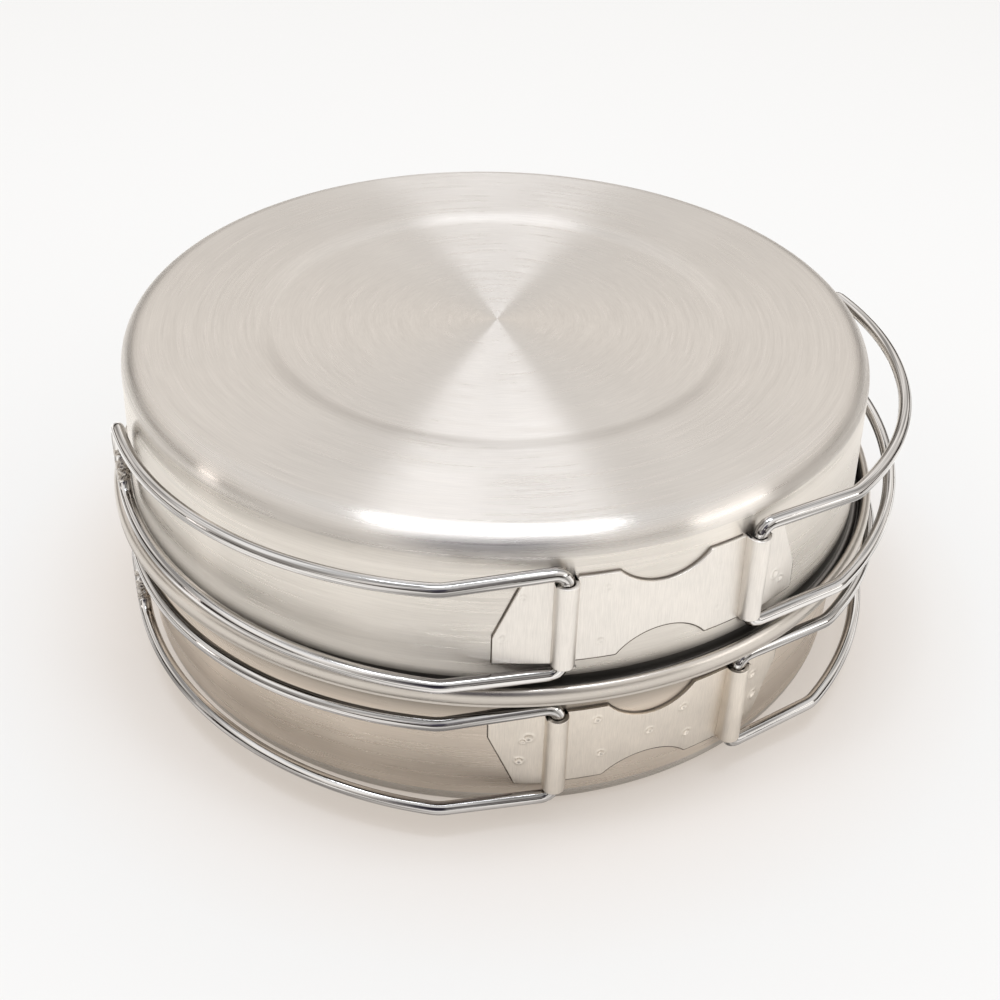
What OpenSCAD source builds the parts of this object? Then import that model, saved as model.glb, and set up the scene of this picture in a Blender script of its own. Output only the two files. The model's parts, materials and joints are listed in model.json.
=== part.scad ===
// Two-piece camp cooking set: a pot and a shallow pan of pressed steel sheet. The pan lies upside down
// on the pot as its lid. Each vessel carries one spot-welded bracket with two open barrels, and each
// barrel holds the pin of a folding wire loop handle.
// +Z is up, the origin is the centre of the pot's underside, and the brackets face -Y.

/* [Vessels] */
// Outer diameter over the pot's folded rim
set_d = 160; // [150:1:180]
// Height of the closed set, from the pot's underside to the pan's
set_h = 65.2; // [64:0.2:70]
// Thickness of the vessels' sheet
sheet_t = 0.7; // [0.5:0.1:0.9]
// Outer radius of the pot's wall just above its bottom corner
pot_foot_r = 74.5; // [73:0.1:75]
// Outer radius of the pot's wall just under its rim
pot_wall_r = 75.5; // [75:0.1:76]
// Outer radius of the pan's wall just past its bottom corner
pan_foot_r = 75.5; // [75:0.1:76]
// Outer radius of the pan's wall at its rim
pan_wall_r = 76.2; // [76:0.1:76.5]
// Outer radius of the rounded corner between base and wall
corner_r = 5; // [4:0.25:7]
// Outer radius of the step pressed into each base
step_r = 48.8; // [40:0.2:55]
// Radial width of that step
step_w = 3.8; // [2:0.2:6]
// Depth of the step
step_h = 0.8; // [0.4:0.1:1.2]

/* [Rims] */
// Height of the pot, up to the top of its folded rim
pot_h = 34.9; // [34:0.1:36]
// Height of the folded rim, from its lower edge to its top
hem_h = 3.5; // [3:0.1:4]
// Radial width of the folded rim
hem_w = 1.9; // [1.8:0.1:2.2]
// Height of the ledge in the pot that the pan's rim rests on
ledge_z = 30.8; // [30.4:0.1:31]
// Outer radius of the pan's rolled edge
pan_curl_r = 77.6; // [77.2:0.1:77.8]
// Height of the pan's rolled edge
pan_curl_h = 1.9; // [1.8:0.1:2.2]

/* [Brackets] */
// Height of a bracket
bracket_h = 17.9; // [16:0.1:19]
// Distance of a bracket's centre from the base of its vessel
bracket_z = 17.2; // [17:0.1:17.6]
// Thickness of the bracket's sheet
bracket_t = 0.75; // [0.6:0.05:0.8]
// Angle from the bracket's middle to each hinge pin
barrel_angle = 13.9; // [12:0.1:15]
// Angle from the bracket's middle to each outer end
wing_angle = 23.1; // [22:0.1:25]
// Half width of the round cut-outs in the middle plate
notch_w = 8.9; // [6:0.1:10]
// Depth of the cut-out on the side of the vessel's rim
rim_notch_h = 4.3; // [3:0.1:5]
// Depth of the cut-out on the side of the vessel's base
base_notch_h = 3.7; // [3:0.1:5]
// Length of the upright end of a wing, next to the vessel's rim
wing_end_h = 5.6; // [4:0.1:7]
// Width of the slanted corner of a wing, next to the vessel's base
wing_corner_w = 5.2; // [3:0.1:6]

/* [Handles] */
// Diameter of the handle wire
wire_d = 2.6; // [2.2:0.1:2.8]
// Radial clearance of a pin in its barrel
pin_play = 0.1; // [0.05:0.01:0.1]
// Distance between the two legs of a loop at the pin
loop_h = 22.2; // [21.6:0.1:23]
// Slope at which the two legs close in on each other
loop_taper = 1.9; // [0:0.1:2.5]
// Length of the straight leg, from the pin to the knee
leg_l = 21.6; // [18:0.1:24]
// Direction of the leg at the closed position, from +X
leg_heading = 169.4; // [167:0.1:171]
// Turn at the knee
knee_angle = 20.5; // [16:0.1:21]
// Radius of the long arc around the vessel
arc_r = 76; // [74:0.5:82]
// Turn of the long arc
arc_angle = 62; // [55:0.5:70]
// How far each loop stands open at rest: pot left, pot right, pan left, pan right
rest_open = [0, 0.7, 0.5, 2.8]; // [0:0.1:4]

/* [Hidden] */
$fn = 96;

steel = [0.78, 0.75, 0.71];
satin = [0.82, 0.79, 0.74];
bright = [0.86, 0.86, 0.86];

rim_r = set_d / 2;
hem_in_r = rim_r - hem_w;
wire_r = wire_d / 2;
bore_r = wire_r + pin_play;
barrel_r = bore_r + bracket_t;
weld_gap = 0.02;
// The barrels' flat sides stand this far inside the rounding's full width
side_draft = 0.05;
cut = 5;

// Bend radii on the wire's centreline
pin_bend_r = 2.4;
knee_r = 8;
end_bend_r = 4.5;
// The bends are a hair thinner than the straight runs and reach this far into them
bend_slack = 0.02;
bend_lap = 0.15;
// Direction from a pin to the far end of its loop, at the closed position
chord_heading = 127;

// Bend radii of the pot's rim, on the sheet's outer side: out to the ledge, and up from it
flare_r = 1.2;
turn_r = 1.1;
// Top of each wall, measured from the vessel's own base
pot_wall_top = ledge_z - sheet_t - flare_r;
pan_depth = set_h - ledge_z - 0.05;
pan_wall_top = pan_depth - pan_curl_h;

function pot_r(z) = pot_foot_r + (pot_wall_r - pot_foot_r) * (z - corner_r) / (pot_wall_top - corner_r);
function pan_r(z) = pan_foot_r + (pan_wall_r - pan_foot_r) * (z - corner_r) / (pan_wall_top - corner_r);
function unit(v) = v / norm(v);
function arc(c, r, a0, a1, n) = [for (i = [0 : n]) let (a = a0 + (a1 - a0) * i / n) c + r * [cos(a), sin(a)]];

// ---- pressed shells ----

// Underside, rounded corner and wall up to height top, offset inwards by t
function shell_side(foot_r, wall_r, top, t) = concat(
    [[0, step_h + t], [step_r - step_w - t / 2, step_h + t], [step_r - t / 2, t]],
    arc([foot_r - corner_r, corner_r], corner_r - t, -90, 0, 12),
    [[wall_r - t, top]]);
function backwards(list) = [for (i = [len(list) - 1 : -1 : 0]) list[i]];

// Above its wall the pot's sheet, offset by t, flares out to the ledge and turns up again
function pot_seat(t) = concat(
    arc([pot_wall_r + flare_r, pot_wall_top], flare_r + t, 180, 90, 6),
    arc([hem_in_r + sheet_t - turn_r, ledge_z - sheet_t + turn_r], turn_r - t, -90, 0, 6));

// The sheet then folds outwards and down into a closed, flat hem
module pot_body() {
    lip_r = 0.6;
    hem_z = pot_h - hem_h + lip_r;
    hem = concat([[hem_in_r + sheet_t, hem_z]],
        arc([rim_r - lip_r, hem_z], lip_r, -90, 0, 6),
        arc([rim_r - hem_w / 2, pot_h - hem_w / 2], hem_w / 2, 0, 180, 12));
    outer = concat(shell_side(pot_foot_r, pot_wall_r, pot_wall_top, 0), pot_seat(0));
    inner = concat(shell_side(pot_foot_r, pot_wall_r, pot_wall_top, sheet_t), pot_seat(sheet_t));
    color(steel) rotate_extrude() polygon(concat(outer, hem, backwards(inner)));
}

// The pan is drawn the right way up, with a rolled edge at its rim, and then turned over
module pan_body() {
    curl_r = pan_curl_h / 2;
    curl = arc([pan_curl_r - curl_r, pan_depth - curl_r], curl_r, -110, 140, 16);
    outer = shell_side(pan_foot_r, pan_wall_r, pan_wall_top, 0);
    inner = shell_side(pan_foot_r, pan_wall_r, pan_wall_top, sheet_t);
    color(steel) on_pan() rotate_extrude() polygon(concat(outer, curl, backwards(inner)));
}

module on_pan() {
    translate([0, 0, set_h]) mirror([0, 0, 1]) children();
}

// ---- brackets ----

// Wall radii at the two edges of a bracket, and the distance of its hinge pins from the axis
base_edge = bracket_z - bracket_h / 2;
rim_edge = bracket_z + bracket_h / 2;
pot_pin_r = pot_r(rim_edge) + wire_r + pin_play;
pan_pin_r = pan_r(rim_edge) + wire_r + pin_play;

// Turns its children from -Y to an angle around the vessel, positive towards +X
module around(angle) {
    rotate([0, 0, angle - 90]) children();
}

// One sheet: a plate and two wings that follow the wall from radius r0 at the base edge to r1 at the
// rim edge, and two upright half-round barrels around the pins at distance pin_r
module bracket(r0, r1, pin_r) {
    color(satin) difference() {
        intersection() {
            union() {
                coned(r0, r1, weld_gap, weld_gap + bracket_t);
                for (side = [-1, 1]) difference() {
                    around(side * barrel_angle) channel(r0, pin_r, barrel_r);
                    coned(r0, r1, -r0 / 2, weld_gap + bracket_t / 2);
                }
            }
            sector(wing_angle);
        }
        for (side = [-1, 1]) {
            around(side * barrel_angle) channel(r0 - cut, pin_r, bore_r);
            wing_corner(side, r0);
        }
        notch(rim_edge, rim_notch_h, 1);
        notch(base_edge, base_notch_h, -1);
    }
}

// Ring between two offsets from the wall, longer than a bracket at both edges
module coned(r0, r1, inner, outer) {
    low = -cut;
    high = bracket_h + cut;
    rotate_extrude() polygon([for (c = [[inner, low], [outer, low], [outer, high], [inner, high]])
        [r0 + (r1 - r0) * c.y / bracket_h + c.x, base_edge + c.y]]);
}

// Wedge of a bracket's height that reaches to an angle on each side of -Y
module sector(angle) {
    translate([0, 0, base_edge]) linear_extrude(bracket_h)
        polygon([[0, 0], set_d * [-sin(angle), -cos(angle)], set_d * [sin(angle), -cos(angle)]]);
}

// Half-round channel from radius from to the pin, with the pin's axis as the centre of its rounding,
// and longer than a bracket at both edges
module channel(from, pin_r, r) {
    h = bracket_h + 2 * cut;
    translate([pin_r, 0, base_edge - cut]) cylinder(r = r, h = h);
    translate([from, -r + side_draft, base_edge - cut]) cube([pin_r - from, 2 * (r - side_draft), h]);
}

// Slanted corner of a wing on the side of the vessel's base
module wing_corner(side, r) {
    slant = [wing_corner_w, bracket_h - wing_end_h];
    around(side * wing_angle) translate([r - cut, 0, base_edge]) rotate([90, 0, 90]) linear_extrude(2 * cut)
        polygon([[side * slant.x, 2 * slant.y], [side * slant.x, -slant.y], [-2 * side * slant.x, -slant.y]]);
}

// Round cut-out in an edge at height z; side is 1 above the plate and -1 below it
module notch(z, depth, side) {
    r = (notch_w * notch_w + depth * depth) / (2 * depth);
    translate([0, -rim_r - cut, z + side * (r - depth)]) rotate([-90, 0, 0]) cylinder(r = r, h = 3 * cut);
}

module pot_bracket() {
    bracket(pot_r(base_edge), pot_r(rim_edge), pot_pin_r);
}

module pan_bracket() {
    on_pan() bracket(pan_r(base_edge), pan_r(rim_edge), pan_pin_r);
}

// ---- wire loop handles ----

// A loop is drawn around its own pin, at the closed position of a left handle. Its upper run lies in a
// plane that slopes down towards the far end, and its lower run is the mirror image.
slope = tan(loop_taper);
plane_up = unit([slope * cos(chord_heading), slope * sin(chord_heading), 1]);
function on_plane(heading) = unit([cos(heading), sin(heading), -slope * cos(heading - chord_heading)]);

// Where a bend of radius r through an angle ends, from point p with direction d, curving towards side
function bend_end(p, d, side, r, angle) = p + r * (sin(angle) * d + (1 - cos(angle)) * side);
function bend_dir(d, side, angle) = cos(angle) * d + sin(angle) * side;

module bend(p, d, side, r, angle, thin = bend_slack, lap = bend_lap) {
    z = cross(-side, d);
    c = p + r * side;
    over = lap / r * 180 / PI;
    multmatrix([[-side.x, d.x, z.x, c.x], [-side.y, d.y, z.y, c.y], [-side.z, d.z, z.z, c.z], [0, 0, 0, 1]])
        rotate([0, 0, -over]) rotate_extrude(angle = angle + 2 * over)
            translate([r, 0]) circle(r = wire_r - thin);
}

module rod(p, d, length) {
    side = unit(cross(d, abs(d.z) < 0.9 ? [0, 0, 1] : [0, 1, 0]));
    up = cross(d, side);
    multmatrix([[side.x, up.x, d.x, p.x], [side.y, up.y, d.y, p.y], [side.z, up.z, d.z, p.z], [0, 0, 0, 1]])
        cylinder(r = wire_r, h = length);
}

// Corners and bends of the upper run, from the pin to the far end
leg_dir = on_plane(leg_heading);
pin_turn = acos(leg_dir.z);
pin_tangent = pin_bend_r * tan(pin_turn / 2);
knee_tangent = knee_r * tan(knee_angle / 2);
pin_top = [0, 0, loop_h / 2];
leg_side = unit(cross(leg_dir, plane_up));
leg_end = pin_top + (leg_l - knee_tangent) * leg_dir;
arc_start = bend_end(leg_end, leg_dir, leg_side, knee_r, knee_angle);
arc_dir = bend_dir(leg_dir, leg_side, knee_angle);
arc_side = unit(cross(arc_dir, plane_up));
arc_end = bend_end(arc_start, arc_dir, arc_side, arc_r, arc_angle);
end_dir = bend_dir(arc_dir, arc_side, arc_angle);
end_side = unit([0, 0, -1] + end_dir.z * end_dir);
end_turn = acos(-end_dir.z);
end_top = bend_end(arc_end, end_dir, end_side, end_bend_r, end_turn);

module loop() {
    pin_side = unit(leg_dir - leg_dir.z * [0, 0, 1]);
    rod(-(pin_top - [0, 0, pin_tangent]), [0, 0, 1], 2 * (pin_top.z - pin_tangent));
    for (half = [0, 1]) mirror([0, 0, half]) {
        bend(pin_top - [0, 0, pin_tangent], [0, 0, 1], pin_side, pin_bend_r, pin_turn);
        rod(pin_top + pin_tangent * leg_dir, leg_dir, leg_l - knee_tangent - pin_tangent);
        bend(leg_end, leg_dir, leg_side, knee_r, knee_angle);
        bend(arc_start, arc_dir, arc_side, arc_r, arc_angle, 0, 0);
        bend(arc_end, end_dir, end_side, end_bend_r, end_turn);
    }
    rod([end_top.x, end_top.y, -end_top.z], [0, 0, 1], 2 * end_top.z);
}

// side is -1 for a left handle and 1 for a right one
module handle(side, pin_r, z, open) {
    color(bright) mirror([side > 0 ? 1 : 0, 0, 0])
        translate([-pin_r * sin(barrel_angle), -pin_r * cos(barrel_angle), z]) rotate([0, 0, open]) loop();
}

module pot_handle_left() { handle(-1, pot_pin_r, bracket_z, rest_open[0]); }
module pot_handle_right() { handle(1, pot_pin_r, bracket_z, rest_open[1]); }
module pan_handle_left() { handle(-1, pan_pin_r, set_h - bracket_z, rest_open[2]); }
module pan_handle_right() { handle(1, pan_pin_r, set_h - bracket_z, rest_open[3]); }

pot_body();
pot_bracket();
pot_handle_left();
pot_handle_right();
pan_body();
pan_bracket();
pan_handle_left();
pan_handle_right();
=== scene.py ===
import json
import math

import bmesh
import bpy
from mathutils import Matrix, Vector, noise


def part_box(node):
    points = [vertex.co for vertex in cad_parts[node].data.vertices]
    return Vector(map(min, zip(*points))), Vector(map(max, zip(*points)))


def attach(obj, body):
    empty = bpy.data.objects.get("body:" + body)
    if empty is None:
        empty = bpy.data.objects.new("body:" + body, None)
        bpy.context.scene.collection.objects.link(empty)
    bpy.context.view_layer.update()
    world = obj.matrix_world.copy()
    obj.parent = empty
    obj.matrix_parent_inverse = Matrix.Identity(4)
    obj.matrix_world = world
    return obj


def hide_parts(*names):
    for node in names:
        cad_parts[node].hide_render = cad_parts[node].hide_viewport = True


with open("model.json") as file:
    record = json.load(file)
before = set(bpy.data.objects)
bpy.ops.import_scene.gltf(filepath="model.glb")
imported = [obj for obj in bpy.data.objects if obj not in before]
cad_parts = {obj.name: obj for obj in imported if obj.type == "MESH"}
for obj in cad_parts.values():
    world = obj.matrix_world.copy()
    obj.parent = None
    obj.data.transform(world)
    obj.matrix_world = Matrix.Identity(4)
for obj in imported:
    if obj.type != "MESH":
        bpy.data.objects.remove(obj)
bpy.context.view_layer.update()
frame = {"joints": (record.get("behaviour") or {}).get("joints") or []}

# A two-piece camp cooking set: a pot, and a pan turned over on it as its lid. Lengths in the tables
# and profiles below are millimetres, as in the CAD part, and become metres where a mesh or a node is
# made.
MM = 0.001

# ---- sizes, as in the CAD part unless a comment says otherwise ----

SHEET = 0.7
CORNER_R = 5.0
STEP_IN_R, STEP_OUT_R, STEP_H = 45.0, 48.8, 0.8
# The step's bends, softer than the CAD part's
STEP_IN_BEND, STEP_OUT_BEND = 8.0, 14.0
POT_FOOT_R, POT_WALL_R = 74.5, 75.5
PAN_FOOT_R, PAN_WALL_R = 75.5, 76.2
RIM_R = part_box("pot_body")[1].x / MM
POT_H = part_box("pot_body")[1].z / MM
SET_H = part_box("pan_body")[1].z / MM
PAN_DEPTH = SET_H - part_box("pan_body")[0].z / MM
HEM_H, HEM_W = 3.5, 1.9
LEDGE_Z = 30.8
CURL_R, CURL_H = 77.6, 1.9

BRACKET_H, BRACKET_Z, BRACKET_T = 17.9, 17.2, 0.75
BARREL_ANGLE, WING_ANGLE = 13.9, 23.1
NOTCH_W, RIM_NOTCH_H, BASE_NOTCH_H = 8.9, 4.3, 3.7
WING_END_H, WING_CORNER_W = 5.6, 5.2
# In the visual model only: the bracket mesh's rows and spacing, and its bevelled edges
BRACKET_ROWS, BRACKET_SPACING, EDGE_BEVEL = 96, 0.22, 0.07
# The painted shade line along a sheet's edge: its width, how far it is tucked under the edge, where it
# starts from the wall, and its height on edges that face up and on the others
SHADE_LINE_W, SHADE_LINE_TUCK, SHADE_LINE_LOW, SHADE_LINE_H, SHADE_LINE_DEEP = 0.24, 0.1, -0.05, 0.12, 0.68

WIRE_R, PIN_PLAY, WIRE_LINES = 1.3, 0.1, 14.0
# The butt weld's flash: its height, and its middle and half length up the far end of the loop. Then the
# depth of the scuffs on the bends at the pin, and their reach. Both are in the visual model only.
FLASH_H, FLASH_Z, FLASH_REACH = 0.72, -3.0, 5.2
SCUFF_H, SCUFF_REACH = 0.30, 4.5
PLATE_R = 77.0
BARREL_S, WING_S = math.radians(BARREL_ANGLE) * PLATE_R, math.radians(WING_ANGLE) * PLATE_R
PIN_H = WIRE_R + PIN_PLAY
BARREL_R = PIN_H + BRACKET_T / 2
REST_H = BRACKET_T / 2 + 0.02
# Spot welds as (distance round the vessel, height from the bracket's middle, radius, depth)
WELDS = {
    "pot": [(-10.9, 6.0, 0.75, 0.16), (-9.6, -3.1, 0.75, 0.16), (0.1, 0.0, 0.75, 0.14),
            (7.0, 3.4, 0.75, 0.16), (8.7, -4.0, 0.75, 0.16), (-23.6, 3.3, 0.9, 0.12),
            (-24.6, 2.4, 0.6, 0.12), (-25.2, -2.7, 0.8, 0.16), (24.0, 3.4, 0.8, 0.14),
            (25.4, -2.6, 0.9, 0.16)],
    "pan": [(-11.1, -6.2, 0.75, 0.06), (-11.9, 5.2, 0.75, 0.06), (11.2, -4.9, 0.7, 0.03),
            (11.4, 4.6, 0.7, 0.03), (-26.0, -5.5, 0.8, 0.07), (-29.3, 3.4, 0.8, 0.06),
            (25.4, 3.2, 0.9, 0.13), (27.2, 5.0, 0.7, 0.13)]}
LOOP_H, LOOP_TAPER = 22.2, 1.9
LEG_L, LEG_HEADING, KNEE_ANGLE = 21.6, 169.4, 20.5
ARC_R, ARC_ANGLE, CHORD_HEADING = 76.0, 62.0, 127.0
PIN_BEND_R, KNEE_R, END_BEND_R = 2.4, 8.0, 4.5
REST_OPEN = {"pot_handle_left": 0.0, "pot_handle_right": 0.7,
             "pan_handle_left": 0.5, "pan_handle_right": 2.8}
# Each vessel as (radius at the foot, radius at the wall's top, the wall's top, turning-over height)
VESSELS = {"pot": (POT_FOOT_R, POT_WALL_R, LEDGE_Z - SHEET - 1.2, None),
           "pan": (PAN_FOOT_R, PAN_WALL_R, PAN_DEPTH - CURL_H, SET_H)}

# ---- camera ----

AZIMUTH, ELEVATION, ROLL = math.radians(-23.76), math.radians(35.54), math.radians(1.7)
LENS, SENSOR = 55.72, 36.0
AIM_Z, DISTANCE, SIDEWAYS, UPWARDS = 60.0, 318.24, 0.69, -33.39


def make_camera():
    back = Vector((math.sin(AZIMUTH) * math.cos(ELEVATION), -math.cos(AZIMUTH) * math.cos(ELEVATION),
                   math.sin(ELEVATION)))
    level = (-back).cross(Vector((0, 0, 1))).normalized()
    upright = level.cross(-back)
    right = level * math.cos(ROLL) + upright * math.sin(ROLL)
    up = upright * math.cos(ROLL) - level * math.sin(ROLL)
    eye = (Vector((0, 0, AIM_Z)) + back * DISTANCE + right * SIDEWAYS + up * UPWARDS) * MM
    camera = bpy.data.objects.new("camera", bpy.data.cameras.new("camera"))
    camera.data.sensor_width = SENSOR
    camera.data.lens = LENS
    camera.data.clip_start = 0.01
    camera.matrix_world = Matrix.Translation(eye) @ Matrix((right, up, back)).transposed().to_4x4()
    bpy.context.scene.collection.objects.link(camera)
    bpy.context.scene.camera = camera


# ---- node helpers ----

def new_material(name):
    material = bpy.data.materials.new(name)
    material.use_nodes = True
    material.node_tree.nodes.clear()
    return material, material.node_tree


def add(tree, kind, inputs=None, **settings):
    """A new node. inputs maps its socket names or numbers to a value or to another node's output."""
    node = tree.nodes.new(kind)
    for key, value in settings.items():
        setattr(node, key, value)
    for key, value in (inputs or {}).items():
        if isinstance(value, bpy.types.NodeSocket):
            tree.links.new(value, node.inputs[key])
        else:
            node.inputs[key].default_value = value
    return node


def calc(tree, operation, a, b=0.0, c=0.0):
    return add(tree, "ShaderNodeMath", {0: a, 1: b, 2: c}, operation=operation).outputs[0]


def spread(tree, value, low, high, to_low, to_high):
    return add(tree, "ShaderNodeMapRange", {"Value": value, "From Min": low, "From Max": high,
                                            "To Min": to_low, "To Max": to_high}).outputs["Result"]


def mixed(tree, factor, a, b):
    node = add(tree, "ShaderNodeMix", data_type="RGBA")
    for socket, value in ((node.inputs[0], factor), (node.inputs[6], a), (node.inputs[7], b)):
        if isinstance(value, bpy.types.NodeSocket):
            tree.links.new(value, socket)
        else:
            socket.default_value = value
    return node.outputs[2]


def separated(tree, vector):
    return add(tree, "ShaderNodeSeparateXYZ", {0: vector}).outputs


# ---- materials ----

def turned_coordinates(tree, base_z):
    """Coordinates for marks that run round the axis: a unit vector round it, and metres along the
    profile."""
    place = add(tree, "ShaderNodeTexCoord").outputs["Object"]
    parts = separated(tree, place)
    flat = add(tree, "ShaderNodeCombineXYZ", {0: parts[0], 1: parts[1]}).outputs[0]
    radius = add(tree, "ShaderNodeVectorMath", {0: flat}, operation="LENGTH").outputs["Value"]
    way_round = add(tree, "ShaderNodeVectorMath", {0: flat}, operation="NORMALIZE").outputs[0]
    along = calc(tree, "ADD", radius, calc(tree, "ABSOLUTE", calc(tree, "SUBTRACT", parts[2], base_z)))
    return place, way_round, along


def streaks(tree, way_round, along, round_scale, width, detail=2.0):
    """Noise drawn out along the turning direction, with lines about width metres apart."""
    spun = add(tree, "ShaderNodeVectorMath", {0: way_round, "Scale": round_scale},
               operation="SCALE").outputs[0]
    lift = add(tree, "ShaderNodeCombineXYZ", {2: calc(tree, "DIVIDE", along, width)}).outputs[0]
    where = add(tree, "ShaderNodeVectorMath", {0: spun, 1: lift}).outputs[0]
    return add(tree, "ShaderNodeTexNoise", {"Vector": where, "Scale": 1.0, "Detail": detail}).outputs[0]


def output(tree, shader):
    out = add(tree, "ShaderNodeOutputMaterial")
    tree.links.new(shader.outputs[0], out.inputs[0])


def steel_shader(tree, color, roughness, bump_height, bump_strength, bump_distance, anisotropy=0.0):
    bump = add(tree, "ShaderNodeBump", {"Height": bump_height, "Strength": bump_strength,
                                        "Distance": bump_distance}).outputs[0]
    shader = add(tree, "ShaderNodeBsdfPrincipled",
                 {"Base Color": color, "Metallic": 1.0, "Roughness": roughness, "Normal": bump})
    if anisotropy:
        shader.inputs["Anisotropic"].default_value = anisotropy
        # A quarter turn sets the highlight across the turning marks
        shader.inputs["Anisotropic Rotation"].default_value = 0.25
        tangent = add(tree, "ShaderNodeTangent", direction_type="RADIAL", axis="Z").outputs[0]
        tree.links.new(tangent, shader.inputs["Tangent"])
    output(tree, shader)


def scaled(tone, factor):
    return tuple(min(c * factor, 1.0) for c in tone)


def opaque(tone):
    return (*tone, 1.0)


def turned_steel(name, base_z, tone, roughness, anisotropy, groove, groove_width, shade_heights=None):
    """Sheet finished on a lathe: fine marks round the axis, cloudy polish and a few longer scratches.
    It is darkened with painted shade between the two distances from the base that it is given, in
    millimetres."""
    material, tree = new_material(name)
    place, way_round, along = turned_coordinates(tree, base_z)
    fine = streaks(tree, way_round, along, 9.0, groove_width)
    long_marks = streaks(tree, way_round, along, 2.2, groove_width * 3.5, 3.0)
    clouds = add(tree, "ShaderNodeTexNoise", {"Vector": place, "Scale": 32.0, "Detail": 3.0}).outputs[0]
    patchy = spread(tree, calc(tree, "ADD", fine, clouds), 0.7, 1.3, 0.0, 1.0)
    color = mixed(tree, patchy, opaque(scaled(tone, 0.93)), opaque(scaled(tone, 1.04)))
    # Painted shade: the colour darkens between the two heights, towards the gap at the other vessel's rim
    if shade_heights:
        depth = calc(tree, "ABSOLUTE", calc(tree, "SUBTRACT", separated(tree, place)[2], base_z))
        shade_mask = spread(tree, depth, shade_heights[0] * MM, shade_heights[1] * MM, 0.0, 1.0)
        color = mixed(tree, shade_mask, color, opaque(scaled(tone, 0.22)))
    rough = calc(tree, "ADD", spread(tree, long_marks, 0.3, 0.7, roughness - 0.035, roughness + 0.035),
                 spread(tree, clouds, 0.3, 0.7, -0.02, 0.02))
    height = calc(tree, "ADD", calc(tree, "MULTIPLY", fine, 0.6), calc(tree, "MULTIPLY", long_marks, 0.4))
    steel_shader(tree, color, rough, height, groove, 0.00004, anisotropy)
    return material


def satin_steel(name, tone, roughness):
    """Rolled sheet with a fine upright grain, for the brackets."""
    material, tree = new_material(name)
    place = add(tree, "ShaderNodeTexCoord").outputs["Object"]
    stretched = add(tree, "ShaderNodeMapping", {"Vector": place, "Scale": (1.0, 1.0, 0.06)}).outputs[0]
    grain = add(tree, "ShaderNodeTexNoise", {"Vector": stretched, "Scale": 5200.0, "Detail": 2.0}).outputs[0]
    clouds = add(tree, "ShaderNodeTexNoise", {"Vector": place, "Scale": 150.0, "Detail": 4.0}).outputs[0]
    patchy = spread(tree, calc(tree, "ADD", grain, clouds), 0.7, 1.3, 0.0, 1.0)
    color = mixed(tree, patchy, opaque(scaled(tone, 0.9)), opaque(scaled(tone, 1.05)))
    rough = spread(tree, clouds, 0.3, 0.7, roughness - 0.05, roughness + 0.05)
    height = calc(tree, "ADD", grain, calc(tree, "MULTIPLY", clouds, 1.5))
    steel_shader(tree, color, rough, height, 0.25, 0.00003)
    return material


def wire_steel():
    """Drawn and polished wire, with fine lines along its length: drawing marks, and dark and light colour
    lines that are partly painted reflection.
    """
    material, tree = new_material("polished_wire")
    place = add(tree, "ShaderNodeTexCoord")
    clouds = add(tree, "ShaderNodeTexNoise", {"Vector": place.outputs["Object"], "Scale": 420.0,
                                              "Detail": 4.0}).outputs[0]
    around, along = separated(tree, place.outputs["UV"])[:2]
    long_way = calc(tree, "MULTIPLY", along, 0.02)
    line = add(tree, "ShaderNodeCombineXYZ", {0: around, 1: long_way}).outputs[0]
    drawn = add(tree, "ShaderNodeTexNoise", {"Vector": line, "Scale": 1.0, "Detail": 2.0}).outputs[0]
    drawn_and_reflection_lines = spread(tree, drawn, 0.38, 0.60, 0.0, 1.0)
    # Dark and light colour lines: partly drawing marks, partly painted reflection
    color = mixed(tree, drawn_and_reflection_lines, (0.22, 0.21, 0.20, 1.0), (0.74, 0.72, 0.70, 1.0))
    rough = spread(tree, clouds, 0.3, 0.7, 0.04, 0.08)
    height = calc(tree, "ADD", calc(tree, "MULTIPLY", clouds, 0.35), drawn)
    steel_shader(tree, color, rough, height, 0.5, 0.00014)
    return material


def painted_shade_line():
    """Painted shade for the narrow gap along a sheet's edge and in the barrels' inner corners: dull and dark
    brown.
    """
    material, tree = new_material("painted_shade_line")
    place = add(tree, "ShaderNodeTexCoord").outputs["Object"]
    clouds = add(tree, "ShaderNodeTexNoise", {"Vector": place, "Scale": 260.0, "Detail": 3.0}).outputs[0]
    patchy = spread(tree, clouds, 0.3, 0.7, 0.0, 1.0)
    color = mixed(tree, patchy, (0.055, 0.042, 0.03, 1.0), (0.24, 0.20, 0.16, 1.0))
    output(tree, add(tree, "ShaderNodeBsdfPrincipled", {"Base Color": color, "Roughness": 0.6}))
    return material


def weld_steel():
    """The rough flash of the butt weld."""
    material, tree = new_material("weld_flash")
    place = add(tree, "ShaderNodeTexCoord").outputs["Object"]
    grit = add(tree, "ShaderNodeTexNoise", {"Vector": place, "Scale": 1500.0, "Detail": 5.0}).outputs[0]
    patchy = spread(tree, grit, 0.35, 0.65, 0.0, 1.0)
    color = mixed(tree, patchy, (0.34, 0.30, 0.26, 1.0), (0.62, 0.59, 0.55, 1.0))
    rough = spread(tree, grit, 0.3, 0.7, 0.18, 0.42)
    steel_shader(tree, color, rough, grit, 0.6, 0.0002)
    return material


# ---- profiles ----

def arc(center_x, center_z, radius, start, end, step=6.0):
    count = max(2, math.ceil(abs(end - start) / step))
    angles = [math.radians(start + (end - start) * i / count) for i in range(count + 1)]
    return [(center_x + radius * math.cos(a), center_z + radius * math.sin(a)) for a in angles]


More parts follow.
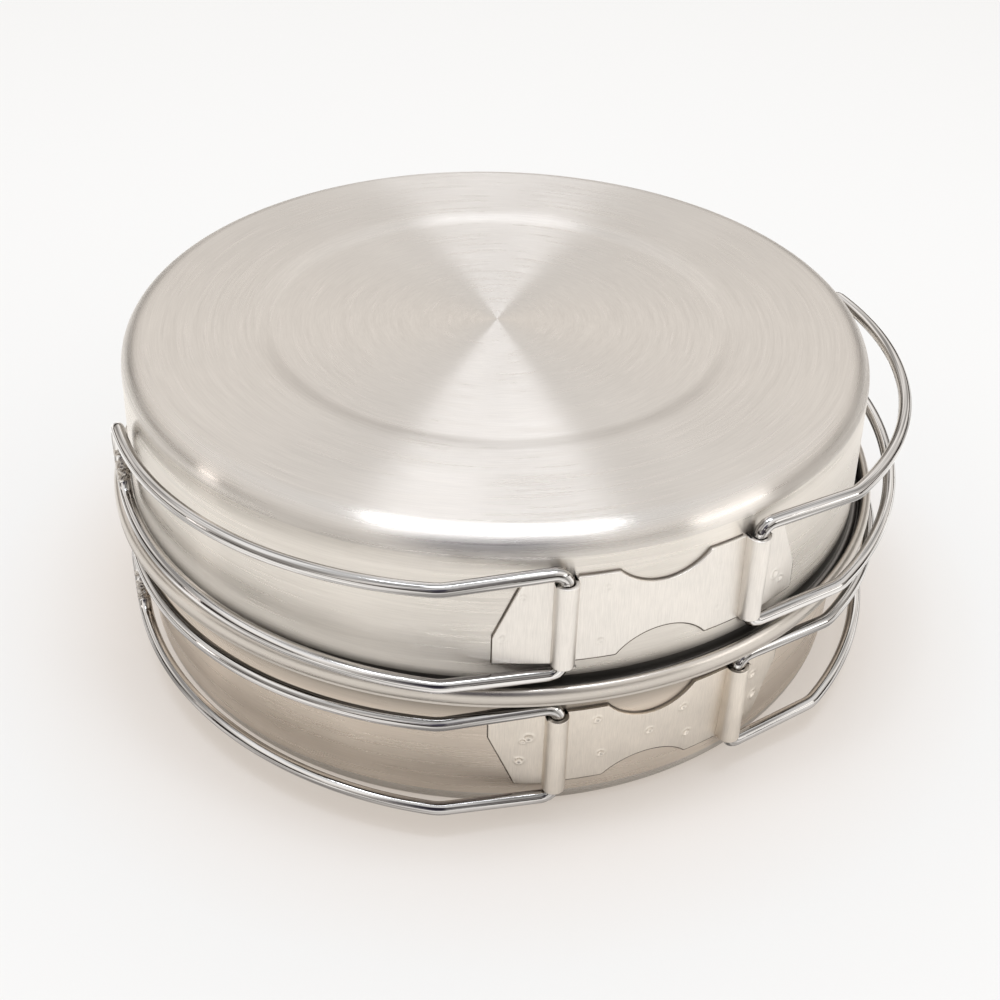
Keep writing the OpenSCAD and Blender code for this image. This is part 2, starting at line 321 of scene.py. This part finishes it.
def rounded(corners, step=6.0):
    """A line through (x, z, radius) corners, each rounded by an arc of its radius."""
    points = [corners[0][:2]]
    for before, here, after in zip(corners, corners[1:], corners[2:]):
        p, radius = Vector(here[:2]), here[2]
        into = (p - Vector(before[:2])).normalized()
        out = (Vector(after[:2]) - p).normalized()
        turn = into.angle_signed(out)
        if radius == 0 or abs(turn) < 1e-4:
            points.append(tuple(p))
            continue
        reach = radius * math.tan(abs(turn) / 2)
        side = 1 if into.cross(out) > 0 else -1
        normal = Vector((-into.y, into.x)) * side
        center = p - into * reach + normal * radius
        count = max(2, math.ceil(math.degrees(abs(turn)) / step))
        for i in range(count + 1):
            a = abs(turn) * i / count
            points.append(tuple(center - normal * radius * math.cos(a) + into * radius * math.sin(a)))
    points.append(corners[-1][:2])
    return points


def offset(points, distance):
    """The same line moved to its left."""
    moved = []
    for i, p in enumerate(points):
        before, after = Vector(points[max(i - 1, 0)]), Vector(points[min(i + 1, len(points) - 1)])
        along = (after - before).normalized()
        moved.append((p[0] - along.y * distance, p[1] + along.x * distance))
    return moved


def supported(points, reach=0.15, longest=4.0):
    """Adds points close to both ends of each long straight run, and splits it, so that it shades flat."""
    filled = [points[0]]
    for a, b in zip(points, points[1:]):
        length = math.dist(a, b)
        if length > 4 * reach:
            inner = length - 2 * reach
            count = max(1, math.ceil(inner / longest))
            for i in range(count + 1):
                t = (reach + inner * i / count) / length
                filled.append((a[0] + (b[0] - a[0]) * t, a[1] + (b[1] - a[1]) * t))
        filled.append(b)
    return filled


def wall_at(z, foot_r, wall_r, top):
    return foot_r + (wall_r - foot_r) * (z - CORNER_R) / (top - CORNER_R)


def finish_mesh(name, mesh, materials, body, node):
    for material in materials:
        mesh.materials.append(material)
    mesh.shade_smooth()
    piece = bpy.data.objects.new(name, mesh)
    bpy.context.scene.collection.objects.link(piece)
    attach(piece, body)
    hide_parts(node)


def new_mesh(name, mesh):
    data = bpy.data.meshes.new(name)
    mesh.to_mesh(data)
    mesh.free()
    return data


def lathe(name, zones, flip_z, segments=288):
    """Turns a profile round Z. zones is a list of (points, material number); the last point of one
    zone is the first of the next, and the profile starts and ends on the axis. flip_z turns the piece
    over at that height."""
    points, numbers = [zones[0][0][0]], []
    for zone_points, number in zones:
        for p in supported(zone_points)[1:]:
            points.append(p)
            numbers.append(number)
    mesh = bmesh.new()
    rings = []
    for r, z in points:
        height = (flip_z - z if flip_z else z) * MM
        if r < 1e-6:
            rings.append([mesh.verts.new((0, 0, height))])
            continue
        angles = [2 * math.pi * i / segments for i in range(segments)]
        rings.append([mesh.verts.new((r * MM * math.cos(a), r * MM * math.sin(a), height)) for a in angles])
    for lower, upper, number in zip(rings, rings[1:], numbers):
        for i in range(segments):
            j = (i + 1) % segments
            corners = [lower[i % len(lower)], lower[j % len(lower)],
                       upper[j % len(upper)], upper[i % len(upper)]]
            corners = list(dict.fromkeys(corners))
            face = mesh.faces.new(corners if not flip_z else corners[::-1])
            face.material_index = number
    bmesh.ops.recalc_face_normals(mesh, faces=mesh.faces)
    return new_mesh(name, mesh)


# ---- the two shells ----

# The seat zone's darker colour is painted shade, for the narrow gaps where pot and pan meet
BASE, EDGE, WALL, INSIDE, RIM, SHADED_SEAT = range(6)


def shell_zones(foot_r, wall_r, top, shade_from, rim_zones):
    """Profile zones from the underside's centre, over the rim, to the inner floor's centre. The top of the
    wall, above the height given, goes in the seat zone, whose darker colour is painted shade, and
    rim_zones run from there to the top of the inner wall."""
    foot_x = wall_at(0, foot_r, wall_r, top)
    outer = rounded([(0, STEP_H, 0), (STEP_IN_R, STEP_H, STEP_IN_BEND), (STEP_OUT_R, 0, STEP_OUT_BEND),
                     (foot_x, 0, CORNER_R), (wall_r, top, 0)], 4.0)
    inner = offset(outer, SHEET)
    inner[0] = (0, STEP_H + SHEET)
    fillet_from = next(i for i, p in enumerate(outer) if p[0] > foot_x - CORNER_R - 0.01)
    fillet_to = next(i for i, p in enumerate(outer) if p[1] > CORNER_R * 0.9)
    wall_end = (wall_at(shade_from, foot_r, wall_r, top), shade_from)
    zones = [(outer[:fillet_from + 1], BASE), (outer[fillet_from:fillet_to + 1], EDGE),
             (outer[fillet_to:-1] + [wall_end], WALL), ([wall_end, outer[-1]], SHADED_SEAT)]
    for points, number in rim_zones:
        zones.append(([zones[-1][0][-1], *points], number))
    return zones + [([zones[-1][0][-1], inner[-1]], INSIDE), (inner[::-1], INSIDE)]


def pot_mesh():
    hem_in_r = RIM_R - HEM_W
    ledge_under = LEDGE_Z - SHEET
    wall_top = VESSELS["pot"][2]
    fold_z = POT_H - HEM_H / 2
    seat = rounded([(POT_WALL_R, wall_top, 0), (POT_WALL_R + 0.02, ledge_under, 1.1),
                    (hem_in_r + SHEET, ledge_under, 1.0), (hem_in_r + SHEET, POT_H - 1.2, 0)])
    skirt = [(hem_in_r + SHEET + 0.25, POT_H - 0.95), (hem_in_r + SHEET + 0.45, POT_H - 1.2)]
    lip = arc(RIM_R - 0.42, POT_H - HEM_H + 0.36, 0.33, 180, 340, 20)
    turns = [math.radians(a) for a in range(-48, 91, 6)]
    roll = [(RIM_R - 1.1 + 1.1 * math.cos(a), fold_z + HEM_H / 2 * math.sin(a)) for a in turns]
    back = arc(hem_in_r + 0.8, POT_H - 0.8, 0.8, 90, 180, 10)
    floor = rounded([(hem_in_r, POT_H - 0.8, 0), (hem_in_r, LEDGE_Z, 0.4),
                     (POT_WALL_R - SHEET, LEDGE_Z, 1.6), (POT_WALL_R - SHEET, wall_top, 0)])
    # The seat under the hem, its skirt and the ledge's floor take the seat zone's painted shade
    rim_zones = [(seat[1:] + skirt, SHADED_SEAT), (lip + roll + back, RIM), (floor[1:-1], SHADED_SEAT)]
    zones = shell_zones(POT_FOOT_R, POT_WALL_R, wall_top, wall_top - 0.3, rim_zones)
    return lathe("pot_shell", zones, None)


def pan_mesh():
    curl = CURL_H / 2
    wall_top = VESSELS["pan"][2]
    # The curl takes the seat zone's painted shade
    rim_zones = [(arc(CURL_R - curl, PAN_DEPTH - curl, curl, -112, 178, 8), SHADED_SEAT)]
    # Above this height the pan's wall takes the seat zone's painted shade
    shade_from = SET_H - POT_H - 0.2
    zones = shell_zones(PAN_FOOT_R, PAN_WALL_R, wall_top, shade_from, rim_zones)
    return lathe("pan_shell", zones, SET_H)


# ---- wire loops ----

def loop_line():
    """Centreline of a loop round its own pin, at the closed position of a left handle, as a closed
    list of points. The upper run lies in a plane that slopes down to the far end; the lower run mirrors
    it."""
    slope = math.tan(math.radians(LOOP_TAPER))
    chord = math.radians(CHORD_HEADING)
    heading = math.radians(LEG_HEADING)
    up = Vector((slope * math.cos(chord), slope * math.sin(chord), 1)).normalized()
    leg = Vector((math.cos(heading), math.sin(heading), -slope * math.cos(heading - chord))).normalized()
    z_axis = Vector((0, 0, 1))

    def bend(points, place, along, side, radius, angle, step):
        count = max(2, math.ceil(math.degrees(angle) / step))
        for i in range(1, count + 1):
            a = angle * i / count
            points.append(place + radius * (math.sin(a) * along + (1 - math.cos(a)) * side))
        return points[-1], math.cos(angle) * along + math.sin(angle) * side

    pin_turn = math.acos(leg.z)
    pin_reach = PIN_BEND_R * math.tan(pin_turn / 2)
    knee = math.radians(KNEE_ANGLE)
    top = Vector((0, 0, LOOP_H / 2))
    points = [Vector((0, 0, LOOP_H / 2 - pin_reach))]
    bend(points, points[0], z_axis, (leg - leg.z * z_axis).normalized(), PIN_BEND_R, pin_turn, 9)
    points.append(top + (LEG_L - KNEE_R * math.tan(knee / 2)) * leg)
    place, along = bend(points, points[-1], leg, leg.cross(up).normalized(), KNEE_R, knee, 4)
    place, along = bend(points, place, along, along.cross(up).normalized(), ARC_R,
                        math.radians(ARC_ANGLE), 1.0)
    end_side = (-z_axis + along.z * along).normalized()
    bend(points, place, along, end_side, END_BEND_R, math.acos(-along.z), 6)
    return points + [Vector((p.x, p.y, -p.z)) for p in reversed(points)]


def resampled(points, spacing):
    """Splits long straight stretches of a closed line."""
    filled = []
    for a, b in zip(points, points[1:] + points[:1]):
        count = max(1, math.ceil((b - a).length / spacing))
        filled += [a.lerp(b, i / count) for i in range(count)]
    return filled


def weld_bulge(local, outward, flash_way):
    """How far the weld's flash stands off the wire, in millimetres: a row of lumps on one side of the
    upright far end, mostly on its lower half."""
    reach = max(0.0, 1 - abs(local.z - FLASH_Z) / FLASH_REACH)
    facing = max(0.0, outward.dot(flash_way) - 0.1) / 0.9
    lumps = 0.55 + 1.5 * noise.noise(Vector((local.x * 0.5, local.y * 0.5, local.z * 0.9))) + \
        0.6 * noise.noise(local * 2.3)
    bulge = FLASH_H * min(1.0, reach * 2.5) * facing ** 0.8 * max(0.0, lumps)
    # Ground level with the wire on the side away from the vessel
    return min(bulge, WIRE_R / max(-outward.x, 0.01) - WIRE_R)


def elbow_dent(p, outward):
    """How far the wire is scuffed and flattened on its tight bends at the pin, in millimetres."""
    far = (p - Vector((0, 0, math.copysign(LOOP_H / 2, p.z)))).length / SCUFF_REACH
    if far >= 1:
        return 0.0
    return SCUFF_H * (1 - far) * max(0.0, noise.noise((p + outward * WIRE_R) * 1.1) + 0.15)


def wire_mesh(name, node, materials, around=32):
    coarse = resampled(loop_line(), 1.2)
    far_point = max(coarse, key=lambda p: p.xy.length)

    def at_far_end(p):
        return (p.xy - far_point.xy).length < 0.4

    line = []
    for a, b in zip(coarse, coarse[1:] + coarse[:1]):
        pieces = max(1, math.ceil((b - a).length / 0.22)) if at_far_end(a) and at_far_end(b) else 1
        line += [a.lerp(b, i / pieces) for i in range(pieces)]
    count = len(line)
    tangents = [(line[(i + 1) % count] - line[i - 1]).normalized() for i in range(count)]
    normals = [Vector((1, 0, 0)).cross(tangents[0]).normalized()]
    for i in range(1, count + 1):
        turn = tangents[i - 1].rotation_difference(tangents[i % count])
        normals.append((turn @ normals[-1]).normalized())
    twist = normals[0].cross(normals[-1]).dot(tangents[0])
    residue = math.asin(max(-1.0, min(1.0, twist)))
    # Turned a little away from the wall, so that the flash clears it when the loop is closed
    flash_way = Vector((-0.09, -0.996, 0))

    left = node.endswith("left")
    joint = next(j for j in frame["joints"] if j["child"] == node)
    pin = Vector(joint["pos_m"])
    opening = math.radians(REST_OPEN[node])
    place = Matrix.Translation(pin) @ Matrix.Diagonal((1 if left else -1, 1, 1, 1)) @ \
        Matrix.Rotation(opening, 4, "Z") @ Matrix.Scale(MM, 4)

    mesh = bmesh.new()
    unwrap = mesh.loops.layers.uv.new("drawn")
    rings, welds = [], []
    for i, p in enumerate(line):
        spin = -residue * i / count
        normal = Matrix.Rotation(spin, 3, tangents[i]) @ normals[i]
        side = tangents[i].cross(normal)
        ring, bulges = [], []
        for k in range(around):
            a = 2 * math.pi * k / around
            outward = normal * math.cos(a) + side * math.sin(a)
            local = p + outward * WIRE_R - Vector((far_point.x, far_point.y, 0))
            bulge = weld_bulge(local, outward, flash_way) if at_far_end(p) else 0.0
            bulges.append(bulge)
            ring.append(mesh.verts.new(place @ (p + outward * (WIRE_R + bulge - elbow_dent(p, outward)))))
        rings.append(ring)
        welds.append(bulges)
    for i in range(count):
        a, b = rings[i], rings[(i + 1) % count]
        for k in range(around):
            face = mesh.faces.new((a[k], a[(k + 1) % around], b[(k + 1) % around], b[k]))
            for loop, (step, ahead) in zip(face.loops, ((0, 0), (1, 0), (1, 1), (0, 1))):
                loop[unwrap].uv = ((k + step) * WIRE_LINES / around, i + ahead)
            face.material_index = 1 if welds[i][k] > 0.05 else 0
    bmesh.ops.recalc_face_normals(mesh, faces=mesh.faces)
    finish_mesh(name, new_mesh(name, mesh), materials, node, node)


# ---- brackets ----

def bracket_profile():
    """Half of the bent sheet's middle line, seen from above, as (s, h): s round the vessel from the
    bracket's middle, h out from the wall."""
    fold, lift, ease = 0.3, 0.45, 5.5
    near, far = BARREL_S - BARREL_R, BARREL_S + BARREL_R
    plate = rounded([(0, REST_H, 0), (near, REST_H, fold), (near, PIN_H, 0.02)], 15)
    wing = rounded([(far, PIN_H, 0), (far, REST_H + lift, fold), (far + ease, REST_H + 0.1, 12),
                    (WING_S, REST_H, 0)], 15)
    return plate + arc(BARREL_S, PIN_H, BARREL_R, 180, 0, 9) + wing


def outline(s):
    """Lowest and highest edge of the flat bracket at a distance s from its middle, as heights from the
    vessel's base."""
    base_edge, rim_edge = BRACKET_Z - BRACKET_H / 2, BRACKET_Z + BRACKET_H / 2
    x = PLATE_R * math.sin(abs(s) / PLATE_R)

    def bite(depth):
        if x >= NOTCH_W:
            return 0.0
        r = (NOTCH_W ** 2 + depth ** 2) / (2 * depth)
        return math.sqrt(r * r - x * x) - (r - depth)

    low, high = base_edge + bite(BASE_NOTCH_H), rim_edge - bite(RIM_NOTCH_H)
    slant = abs(s) - (WING_S - WING_CORNER_W)
    if slant > 0:
        low = base_edge + slant / WING_CORNER_W * (BRACKET_H - WING_END_H)
    return low, high


def dimple(s, z, welds):
    """Depth of the spot welds' marks: a shallow round dent with a raised edge."""
    depth = 0.0
    for weld_s, weld_z, size, deep in welds:
        d = math.dist((s, z), (weld_s, weld_z)) / size
        if d < 1.8:
            ragged = 1 + 0.7 * noise.noise(Vector((s * 1.7, z * 1.7, weld_s)))
            dent, edge = math.exp(-(d * 1.5) ** 4), math.exp(-((d - 1.05) / 0.26) ** 2)
            depth += 1.5 * deep * ragged * (dent - 0.55 * edge)
    return depth


def ribbon(mesh, place, path, inner, outer, low, high):
    """A thin strip of painted shade, with square edges, along a path of (s, z), between two distances to its
    left.
    """
    near, far = offset(path, inner), offset(path, outer)
    rings = [[mesh.verts.new(place(*point, h)) for point, h in ((a, low), (b, low), (b, high), (a, high))]
             for a, b in zip(near, far)]
    for a, b in zip(rings, rings[1:]):
        for k in range(4):
            mesh.faces.new((a[k], a[(k + 1) % 4], b[(k + 1) % 4], b[k])).material_index = 1
    for end in (rings[0], rings[-1]):
        mesh.faces.new(end).material_index = 1


def bracket_mesh(name, node, vessel, materials, welds):
    foot_r, wall_r, top, flip = VESSELS[vessel]
    pin_r = wall_at(BRACKET_Z + BRACKET_H / 2, foot_r, wall_r, top) + PIN_H

    def place(s, z, h, upright=0.0):
        """A point of the bent sheet. Flat parts follow the wall's lean, and the barrels stand upright."""
        on_wall = wall_at(z, foot_r, wall_r, top) + h
        r = on_wall + (pin_r - PIN_H + h - on_wall) * upright
        a = s / pin_r - math.pi / 2
        return (r * MM * math.cos(a), r * MM * math.sin(a), ((flip - z) if flip else z) * MM)

    half = supported(bracket_profile(), 0.12, BRACKET_SPACING)
    profile = [(-s, h) for s, h in reversed(half[1:])] + half
    mesh = bmesh.new()
    layers = {}
    for side in (-1, 1):
        shifted = offset(profile, side * BRACKET_T / 2)
        grid = []
        for (s0, h0), (s, h) in zip(profile, shifted):
            low, high = outline(s0)
            upright = min(1.0, max(0.0, (h0 - 0.8) / 0.8))
            column = []
            for k in range(BRACKET_ROWS + 1):
                z = low + (high - low) * k / BRACKET_ROWS
                sunk = dimple(s0, z - BRACKET_Z, welds) if h0 < 1.0 else 0.0
                column.append(mesh.verts.new(place(s, z, h - sunk, upright)))
            grid.append(column)
        layers[side] = grid
        for left, right in zip(grid, grid[1:]):
            for k in range(BRACKET_ROWS):
                mesh.faces.new((left[k], right[k], right[k + 1], left[k + 1]))
    front, rear = layers[1], layers[-1]
    for i in range(len(profile) - 1):
        for k in (0, BRACKET_ROWS):
            mesh.faces.new((front[i][k], front[i + 1][k], rear[i + 1][k], rear[i][k]))
    for i in (0, len(profile) - 1):
        for k in range(BRACKET_ROWS):
            mesh.faces.new((front[i][k], front[i][k + 1], rear[i][k + 1], rear[i][k]))
    bmesh.ops.recalc_face_normals(mesh, faces=mesh.faces)
    sharp = [e for e in mesh.edges if len(e.link_faces) == 2 and e.calc_face_angle() > 1.0]
    bmesh.ops.bevel(mesh, geom=sharp, offset=EDGE_BEVEL * MM, segments=2, profile=0.5, affect="EDGES")

    # Painted shade: a dark line along the sheet's edges, where it does not quite lie on the wall
    plate = [s for s, h in profile if abs(s) < BARREL_S - BARREL_R - 0.5]
    rim_side, base_side = (SHADE_LINE_DEEP, SHADE_LINE_H) if flip else (SHADE_LINE_H, SHADE_LINE_DEEP)
    rim_path = [(s, outline(s)[1]) for s in plate]
    base_path = [(s, outline(s)[0]) for s in reversed(plate)]
    ribbon(mesh, place, rim_path, -SHADE_LINE_TUCK, SHADE_LINE_W, SHADE_LINE_LOW, rim_side)
    ribbon(mesh, place, base_path, -SHADE_LINE_TUCK, SHADE_LINE_W, SHADE_LINE_LOW, base_side)
    wing = [s for s, h in half if s > BARREL_S + BARREL_R + 0.6]
    wing.append(WING_S)
    for way in (1, -1):
        low_edge = [(s * way, outline(s)[0]) for s in wing]
        high_edge = [(s * way, outline(s)[1]) for s in wing]
        end = [low_edge[-1], (WING_S * way, sum(outline(WING_S)) / 2), high_edge[-1]]
        tuck, width = SHADE_LINE_TUCK * way, SHADE_LINE_W * way
        ribbon(mesh, place, low_edge, tuck, -width, SHADE_LINE_LOW, base_side)
        ribbon(mesh, place, high_edge, -tuck, width, SHADE_LINE_LOW, rim_side)
        ribbon(mesh, place, end, tuck, -width, SHADE_LINE_LOW, SHADE_LINE_DEEP)
    # And painted shade in the sharp inner corners where the barrels start, as (place round the vessel,
    # width)
    creases = ((-BARREL_S - BARREL_R, 0.55), (-BARREL_S + BARREL_R, 0.3), (BARREL_S - BARREL_R, 0.3),
               (BARREL_S + BARREL_R, 0.4))
    upward = [BRACKET_Z + BRACKET_H * (k / 8 - 0.5) for k in range(9)]
    for s, width in creases:
        away = 1 if abs(s) > BARREL_S else -1
        edge = s + math.copysign(away * (BRACKET_T / 2 - 0.05), s)
        reach = math.copysign(away * width, s)
        base_h = REST_H + (0.3 if away > 0 else 0.0)
        top_h = base_h + BRACKET_T / 2 + 0.09
        ribbon(mesh, place, [(edge, z) for z in upward], 0.0, -reach, base_h, top_h)
    finish_mesh(name, new_mesh(name, mesh), materials, vessel, node)


# ---- stage ----

def make_floor():
    mesh = bmesh.new()
    bmesh.ops.create_grid(mesh, x_segments=8, y_segments=8, size=6.0)
    data = new_mesh("floor", mesh)
    floor = bpy.data.objects.new("floor", data)
    bpy.context.scene.collection.objects.link(floor)
    material, tree = new_material("pale_floor")
    shader = add(tree, "ShaderNodeBsdfPrincipled",
                 {"Base Color": (0.40, 0.405, 0.41, 1.0), "Roughness": 0.9, "Specular IOR Level": 0.1})
    # A white table that glows, which is painted light. Reflections see it brighter than the camera does;
    # close to the pot its glow is dimmer and warmer, a painted contact shadow.
    place = add(tree, "ShaderNodeTexCoord").outputs["Object"]
    away = add(tree, "ShaderNodeVectorMath", {0: place}, operation="LENGTH").outputs["Value"]
    reflected_glow_shadowed = spread(tree, away, 0.080, 0.120, 0.20, 0.72)
    seen = add(tree, "ShaderNodeLightPath").outputs["Is Camera Ray"]
    seen_glow_shadowed = spread(tree, away, 0.085, 0.160, 0.435, 0.450)
    glow = add(tree, "ShaderNodeMix", {0: seen, 2: reflected_glow_shadowed, 3: seen_glow_shadowed}, data_type="FLOAT").outputs[0]
    warm_shadow_mask = spread(tree, away, 0.085, 0.112, 0.0, 1.0)
    glow_color = mixed(tree, warm_shadow_mask, (1.0, 0.885, 0.775, 1.0), (1.0, 0.965, 0.908, 1.0))
    tree.links.new(glow_color, shader.inputs["Emission Color"])
    tree.links.new(glow, shader.inputs["Emission Strength"])
    output(tree, shader)
    data.materials.append(material)


def softbox(name, place, aim, width, height, radiance, color=(1.0, 1.0, 1.0)):
    """A rectangular lamp that faces aim, in metres. radiance is what a surface sees when it looks into
    the lamp."""
    lamp = bpy.data.lights.new(name, "AREA")
    lamp.shape = "RECTANGLE"
    lamp.size, lamp.size_y = width, height
    lamp.energy = radiance * math.pi * width * height
    lamp.color = color
    box = bpy.data.objects.new(name, lamp)
    box.location = place
    box.rotation_euler = (Vector(aim) - Vector(place)).to_track_quat("-Z", "Y").to_euler()
    bpy.context.scene.collection.objects.link(box)
    return box


def make_world():
    """A white room: dim round the horizon, brighter above, and dark where the camera and its holder
    stand. The camera itself sees a plain pale background."""
    world = bpy.data.worlds.new("studio")
    bpy.context.scene.world = world
    world.use_nodes = True
    tree = world.node_tree
    tree.nodes.clear()
    toward = add(tree, "ShaderNodeTexCoord").outputs["Generated"]
    ramp = add(tree, "ShaderNodeValToRGB", {0: separated(tree, toward)[2]})
    stops = ramp.color_ramp.elements
    stops[0].position, stops[0].color = 0.0, (0.07, 0.06, 0.055, 1.0)
    stops[1].position, stops[1].color = 1.0, (0.98, 1.0, 1.03, 1.0)
    for position, color in ((0.16, (0.11, 0.095, 0.085, 1.0)), (0.32, (1.05, 1.01, 0.97, 1.0)),
                            (0.60, (1.12, 1.10, 1.08, 1.0))):
        stop = stops.new(position)
        stop.color = color
    holder = Vector((math.sin(AZIMUTH), -math.cos(AZIMUTH), 0.55)).normalized()
    near = add(tree, "ShaderNodeVectorMath", {0: toward, 1: holder},
               operation="DOT_PRODUCT").outputs["Value"]
    shade = spread(tree, near, math.cos(math.radians(30)), math.cos(math.radians(13)), 0.0, 1.0)
    color = mixed(tree, shade, ramp.outputs[0], (0.08, 0.075, 0.11, 1.0))
    sky = add(tree, "ShaderNodeBackground", {"Color": color, "Strength": 1.0})
    seen = add(tree, "ShaderNodeBackground", {"Color": (0.945, 0.935, 0.92, 1.0), "Strength": 1.0})
    ray = add(tree, "ShaderNodeLightPath").outputs["Is Camera Ray"]
    mix = add(tree, "ShaderNodeMixShader", {0: ray, 1: sky.outputs[0], 2: seen.outputs[0]})
    out = add(tree, "ShaderNodeOutputWorld")
    tree.links.new(mix.outputs[0], out.inputs[0])


def toward_view(turn, lift, distance):
    """A place seen from the middle of the set: turn degrees to the right of the camera, and lift
    degrees up."""
    azimuth = AZIMUTH + math.radians(turn)
    flat = distance * math.cos(math.radians(lift))
    return (flat * math.sin(azimuth), -flat * math.cos(azimuth), distance * math.sin(math.radians(lift)))


def make_lights():
    make_world()
    # Wide across the view and short along it, so that the turned base shows two even bright wedges
    over = softbox("overhead", toward_view(0, 87, 1.0), (0, 0, 0), 0.67, 0.24, 7.8, (0.95, 1.0, 1.09))
    over.rotation_euler = (0, 0, AZIMUTH)
    softbox("window_left", toward_view(-82, 9, 1.3), (0, 0, 0.03), 0.16, 0.22, 3.2, (1.0, 0.95, 0.93))
    softbox("window_right", toward_view(68, 16, 1.3), (0, 0, 0.03), 0.55, 0.42, 2.4)
    bpy.context.scene.view_settings.view_transform = "Standard"


# ---- build ----

make_camera()
make_lights()
make_floor()

# Colours of base, wall and bracket, and the heights between which the wall is darkened with painted shade
# The pot's colours are warmer than the pan's: a painted warm reflection of the shaded table close to the pot
LOOKS = {"pot": ((0.67, 0.62, 0.56), (0.74, 0.648, 0.55), (0.80, 0.735, 0.65), (23.5, 29.5)),
         "pan": ((0.68, 0.64, 0.595), (0.75, 0.705, 0.645), (0.77, 0.73, 0.68), (28.5, 31.9))}

for vessel, mesh, base_z in (("pot", pot_mesh(), 0.0), ("pan", pan_mesh(), SET_H * MM)):
    tone, wall_tone, _, shade_heights = LOOKS[vessel]
    # Name, colour, roughness, anisotropy, and the grooves' strength and width, in the zones' order
    zone_steels = (("base", tone, 0.30, 1.0, 0.35, 0.00022),
                   ("edge", scaled(tone, 0.97), 0.28, 1.0, 0.30, 0.00022),
                   # The wall's colour darkens near the rim: painted shade
                   ("wall", wall_tone, 0.29, 1.0, 0.18, 0.00024, shade_heights),
                   ("inside", tone, 0.40, 0.6, 0.12, 0.00030),
                   ("rim", scaled(tone, 0.82), 0.30, 0.6, 0.10, 0.00030),
                   # The seat's darker colour is painted shade in the gaps where pot and pan meet
                   ("seat", scaled(tone, 0.33), 0.40, 0.4, 0.06, 0.00030))
    steels = [turned_steel(vessel + "_" + zone + "_steel", base_z, *look) for zone, *look in zone_steels]
    finish_mesh(vessel + "_shell", mesh, steels, vessel, vessel + "_body")

# Painted shade for the brackets' edges and inner corners
shade_line = painted_shade_line()
for vessel, (_, _, bracket_tone, _) in LOOKS.items():
    sheet_materials = [satin_steel(vessel + "_bracket_satin", bracket_tone, 0.42), shade_line]
    bracket_mesh(vessel + "_bracket_sheet", vessel + "_bracket", vessel, sheet_materials, WELDS[vessel])

wire_materials = [wire_steel(), weld_steel()]
for node in REST_OPEN:
    wire_mesh(node + "_wire", node, wire_materials)
